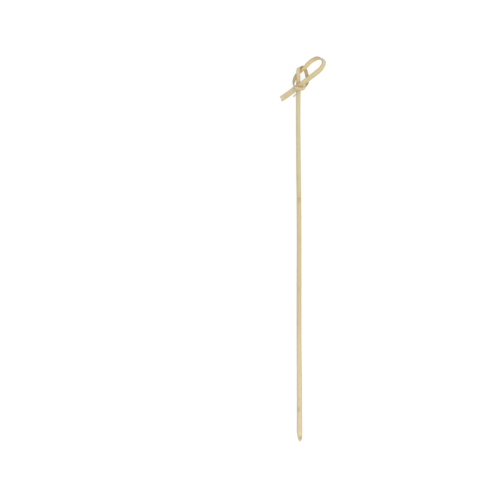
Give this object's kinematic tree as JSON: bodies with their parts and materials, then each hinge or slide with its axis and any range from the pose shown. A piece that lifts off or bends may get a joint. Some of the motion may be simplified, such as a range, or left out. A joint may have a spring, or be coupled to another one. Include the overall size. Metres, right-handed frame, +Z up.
{
  "type": "knot pick",
  "caption": "Flat bamboo food pick: a long thin shaft with a slant-cut point, whose upper end is tied into a flat knot with an open loop and a free tail.",
  "frame": {"origin": "middle of the footprint of the pick as it lies on a table, at the table's surface", "axes": "+Y along the shaft towards the knot, +X towards the side of the open loop, +Z up from the table, out of the front of the knot"},
  "size_m": [0.0214, 0.1798, 0.0042],
  "materials": {
    "bamboo": "matte, split and planed, with the fibres running along the strip"
  },
  "bodies": {
    "root": {"knot_pick": "bamboo"}
  },
  "joints": []
}
